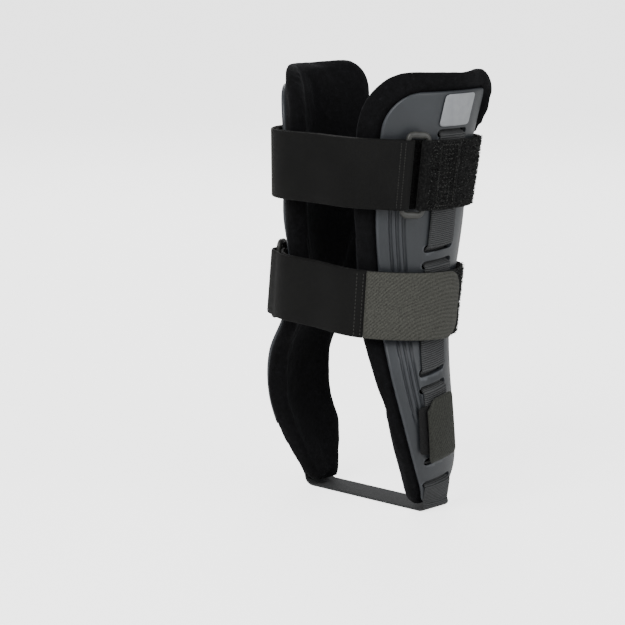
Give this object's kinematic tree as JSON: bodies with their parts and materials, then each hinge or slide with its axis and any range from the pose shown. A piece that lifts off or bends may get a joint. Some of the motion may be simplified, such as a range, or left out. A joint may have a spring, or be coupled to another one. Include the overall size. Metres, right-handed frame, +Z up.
{
  "type": "ankle foot orthosis",
  "caption": "Stirrup ankle brace: two rigid side shells with foam liners, joined by a heel strap and held to the leg by ring-and-hook wrap straps.",
  "frame": {"origin": "centre of the heel strap's underside, at floor level", "axes": "+Z up along the leg, +X towards the lateral shell (outer side of a left ankle), -Y towards the toes"},
  "size_m": [0.1124, 0.092, 0.222],
  "materials": {
    "shell_plastic": "satin moulded polypropylene, bluish grey",
    "liner_fabric": "black fleece over foam",
    "hook_tape": "black hook tape",
    "webbing": "grey ribbed grosgrain webbing",
    "strap_fabric": "smooth dark elastic strap",
    "loop_pile": "brushed loop pile",
    "tab_fabric": "grey-green woven tab",
    "ring_plastic": "satin moulded nylon",
    "label": "blank printed patch"
  },
  "bodies": {
    "lateral_side": {"lateral_shell": "shell_plastic", "lateral_liner": "liner_fabric", "lateral_liner_hook_upper": "hook_tape", "lateral_liner_hook_middle": "hook_tape", "lateral_liner_hook_lower": "hook_tape", "lateral_side_webbing": "webbing", "lateral_heel_tab_patch": "hook_tape", "heel_strap": "webbing", "upper_strap_anchor": "loop_pile", "upper_strap_front_inner": "strap_fabric", "upper_strap_front_outer": "strap_fabric", "lower_strap_band": "loop_pile", "lower_strap_outer_end": "strap_fabric", "label_patch": "label"},
    "medial_side": {"medial_shell": "shell_plastic", "medial_liner": "liner_fabric", "medial_liner_hook_upper": "hook_tape", "medial_liner_hook_middle": "hook_tape", "medial_liner_hook_lower": "hook_tape", "medial_side_webbing": "webbing", "medial_heel_tab_patch": "hook_tape", "heel_strap_medial": "webbing", "upper_strap_band": "loop_pile", "upper_strap_outer_end": "strap_fabric", "lower_strap_anchor": "loop_pile", "lower_strap_front_inner": "strap_fabric", "lower_strap_front_outer": "strap_fabric"},
    "upper_ring": {"upper_strap_ring": "ring_plastic", "upper_strap_fold": "strap_fabric"},
    "lower_ring": {"lower_strap_ring": "ring_plastic", "lower_strap_fold": "strap_fabric"},
    "upper_tab": {"upper_strap_tab": "tab_fabric", "upper_strap_tab_hook": "hook_tape"},
    "lower_tab": {"lower_strap_tab": "tab_fabric", "lower_strap_tab_hook": "hook_tape"},
    "lateral_heel_tab": {"lateral_heel_tab": "tab_fabric"},
    "medial_heel_tab": {"medial_heel_tab": "tab_fabric"}
  },
  "joints": [
    {"name": "medial_shell_swing", "type": "hinge", "parent": "lateral_side", "child": "medial_side", "pos_m": [-0.03673, 0, 0], "axis": [0, -1, 0], "range_deg": [0, 14]},
    {"name": "upper_ring_swing", "type": "hinge", "parent": "lateral_side", "child": "upper_ring", "pos_m": [0.04878, -0.01995, 0.17175], "axis": [0.061, 0.065, 0.996], "range_deg": [0, 18]},
    {"name": "lower_ring_swing", "type": "hinge", "parent": "medial_side", "child": "lower_ring", "pos_m": [-0.04548, -0.02269, 0.11192], "axis": [-0.01, -0.114, -0.9934], "range_deg": [0, 18]},
    {"name": "upper_tab_peel", "type": "hinge", "parent": "medial_side", "child": "upper_tab", "pos_m": [-0.03254, -0.04291, 0.17336], "axis": [-0.046, 0.032, 0.9984], "range_deg": [0, 110]},
    {"name": "lower_tab_peel", "type": "hinge", "parent": "lateral_side", "child": "lower_tab", "pos_m": [0.03029, -0.04351, 0.10899], "axis": [0.022, -0.115, -0.9931], "range_deg": [0, 110]},
    {"name": "lateral_heel_tab_peel", "type": "hinge", "parent": "lateral_side", "child": "lateral_heel_tab", "pos_m": [0.04847, -0.00813, 0.0294], "axis": [0.048, 0.9784, 0.2011], "range_deg": [0, 80]},
    {"name": "medial_heel_tab_peel", "type": "hinge", "parent": "medial_side", "child": "medial_heel_tab", "pos_m": [-0.04847, -0.00813, 0.0294], "axis": [0.048, -0.9784, -0.2011], "range_deg": [0, 80]}
  ]
}
